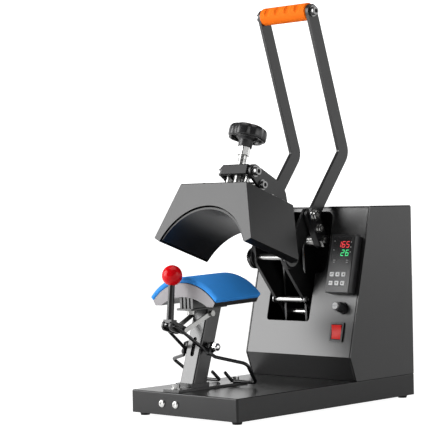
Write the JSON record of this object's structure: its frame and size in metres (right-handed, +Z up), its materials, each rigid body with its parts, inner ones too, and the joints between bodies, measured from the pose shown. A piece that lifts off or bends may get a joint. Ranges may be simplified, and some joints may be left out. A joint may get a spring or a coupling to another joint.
{
  "type": "cap heat press",
  "caption": "Bench heat press for caps: a curved heated head on a toggle lever closes over a padded curved platen on a post, with a digital controller and a star pressure knob.",
  "frame": {"origin": "on the floor, under the middle of the rectangular base, in the plane of the four rubber feet", "axes": "+Z up, -Y towards the user (the platen side), +X to the user's right facing the front; the linkage plane is at X = -30 mm; stored open with the handle up"},
  "size_m": [0.2473, 0.444, 0.6565],
  "materials": {
    "casing_paint": "fine-textured black powder coat",
    "frame_paint": "satin black paint",
    "zinc": "zinc-plated steel",
    "bright_screw": "polished",
    "black_screw": "black oxide",
    "steel": "turned steel",
    "wire_paint": "black coated wire",
    "foot_rubber": "matte",
    "shoe_metal": "dark non-stick coating on cast aluminium",
    "blanket_wool": "ceramic fibre",
    "platen_metal": "satin black",
    "pad_foam": "blue silicone foam",
    "knob_plastic": "moulded",
    "grip_rubber": "orange",
    "ball_plastic": "glossy red",
    "case_plastic": "moulded black",
    "window_plastic": "smoked",
    "key_plastic": "light grey",
    "rocker_plastic": "translucent red"
  },
  "bodies": {
    "frame": {"base_tray": "casing_paint", "rubber_feet": "foot_rubber", "case_screws": "bright_screw", "foot_bar": "frame_paint", "frame_bolts": "black_screw", "housing_shell": "casing_paint", "front_panel": "casing_paint", "power_inlet": "case_plastic", "controller_case": "case_plastic", "display_window": "window_plastic", "fuse_holder": "case_plastic", "switch_bezel": "case_plastic", "upright_left": "frame_paint", "upright_right": "frame_paint", "frame_tie_rods": "steel", "arm_pivot_shaft": "steel", "crank_shaft": "zinc", "post": "frame_paint", "mount_plate": "frame_paint", "platen_body": "platen_metal", "foam_pad": "pad_foam", "clamp_block": "platen_metal", "platen_fasteners": "zinc", "struts": "zinc", "pivot_axle": "bright_screw"},
    "lever": {"crank_plates": "frame_paint", "handle_bar_left": "frame_paint", "handle_bar_right": "frame_paint", "handle_bolts": "black_screw", "grip_bolt": "black_screw", "grip": "grip_rubber", "crank_pins": "black_screw"},
    "arm": {"arm_left": "frame_paint", "arm_right": "frame_paint", "front_bar": "frame_paint", "arm_bolts": "black_screw", "arm_spacer_rods": "steel", "link_shaft": "steel", "link_shaft_nuts": "zinc"},
    "links": {"toggle_links": "frame_paint"},
    "head": {"head_cover": "casing_paint", "heating_shoe": "shoe_metal", "insulation_blanket": "blanket_wool", "shoe_studs": "zinc", "guide_rods": "steel", "thrust_collar": "steel"},
    "pressure_screw": {"pressure_spindle": "steel", "spindle_lock_nut": "zinc", "star_knob": "knob_plastic"},
    "tension_lever_body": {"tension_lever": "frame_paint", "ball_knob": "ball_plastic"},
    "bail": {"bail_wires": "wire_paint"},
    "rocker": {"switch_rocker": "rocker_plastic"},
    "fuse_cap_body": {"fuse_cap": "bright_screw"},
    "key_body_1": {"key_1": "key_plastic"},
    "key_body_2": {"key_2": "key_plastic"},
    "key_body_3": {"key_3": "key_plastic"},
    "key_body_4": {"key_4": "key_plastic"},
    "key_body_5": {"key_5": "key_plastic"},
    "key_body_6": {"key_6": "key_plastic"}
  },
  "joints": [
    {"name": "handle_hinge", "type": "hinge", "parent": "frame", "child": "lever", "pos_m": [-0.03, 0.092, 0.264], "axis": [1, 0, 0], "range_deg": [0, 70]},
    {"name": "arm_hinge", "type": "hinge", "parent": "frame", "child": "arm", "pos_m": [-0.03, 0.129, 0.106], "axis": [1, 0, 0], "range_deg": [0, 20.9]},
    {"name": "link_hinge", "type": "hinge", "parent": "lever", "child": "links", "pos_m": [-0.03, 0.07, 0.307], "axis": [1, 0, 0], "range_deg": [-81.1, 0]},
    {"name": "screw_turn", "type": "hinge", "parent": "head", "child": "pressure_screw", "pos_m": [-0.03, -0.06061, 0.34471], "axis": [0, 0.3206, 0.9472], "range_deg": [0, 1081]},
    {"name": "head_slide", "type": "slide", "parent": "arm", "child": "head", "axis": [0, 0.3206, 0.9472], "range_m": [0, 0.006]},
    {"name": "tension_hinge", "type": "hinge", "parent": "frame", "child": "tension_lever_body", "pos_m": [-0.03, -0.192, 0.134], "axis": [1, 0, 0], "range_deg": [0, 30]},
    {"name": "bail_hinge", "type": "hinge", "parent": "frame", "child": "bail", "pos_m": [-0.03, -0.1464, 0.106], "axis": [1, 0, 0], "range_deg": [0, 9.4]},
    {"name": "power_rocker", "type": "hinge", "parent": "frame", "child": "rocker", "pos_m": [0.078, 0.0583, 0.11798], "axis": [1, 0, 0], "range_deg": [-16, 0]},
    {"name": "fuse_cap_turn", "type": "hinge", "parent": "frame", "child": "fuse_cap_body", "pos_m": [0.082, 0.06771, 0.15686], "axis": [0, -0.972, 0.2351], "range_deg": [0, 90]},
    {"name": "key_1_press", "type": "slide", "parent": "frame", "child": "key_body_1", "axis": [0, 0.972, -0.2351], "range_m": [0, 0.001], "stiffness_N_per_m": 300},
    {"name": "key_2_press", "type": "slide", "parent": "frame", "child": "key_body_2", "axis": [0, 0.972, -0.2351], "range_m": [0, 0.001], "stiffness_N_per_m": 300},
    {"name": "key_3_press", "type": "slide", "parent": "frame", "child": "key_body_3", "axis": [0, 0.972, -0.2351], "range_m": [0, 0.001], "stiffness_N_per_m": 300},
    {"name": "key_4_press", "type": "slide", "parent": "frame", "child": "key_body_4", "axis": [0, 0.972, -0.2351], "range_m": [0, 0.001], "stiffness_N_per_m": 300},
    {"name": "key_5_press", "type": "slide", "parent": "frame", "child": "key_body_5", "axis": [0, 0.972, -0.2351], "range_m": [0, 0.001], "stiffness_N_per_m": 300},
    {"name": "key_6_press", "type": "slide", "parent": "frame", "child": "key_body_6", "axis": [0, 0.972, -0.2351], "range_m": [0, 0.001], "stiffness_N_per_m": 300}
  ],
  "couplings": [
    {"joint": "arm_hinge", "follows": "handle_hinge", "ratio": 0.29714},
    {"joint": "link_hinge", "follows": "handle_hinge", "ratio": -1.1514},
    {"joint": "screw_turn", "follows": "head_slide", "rad_per_m": 3141.6},
    {"joint": "bail_hinge", "follows": "tension_hinge", "ratio": 0.31}
  ]
}
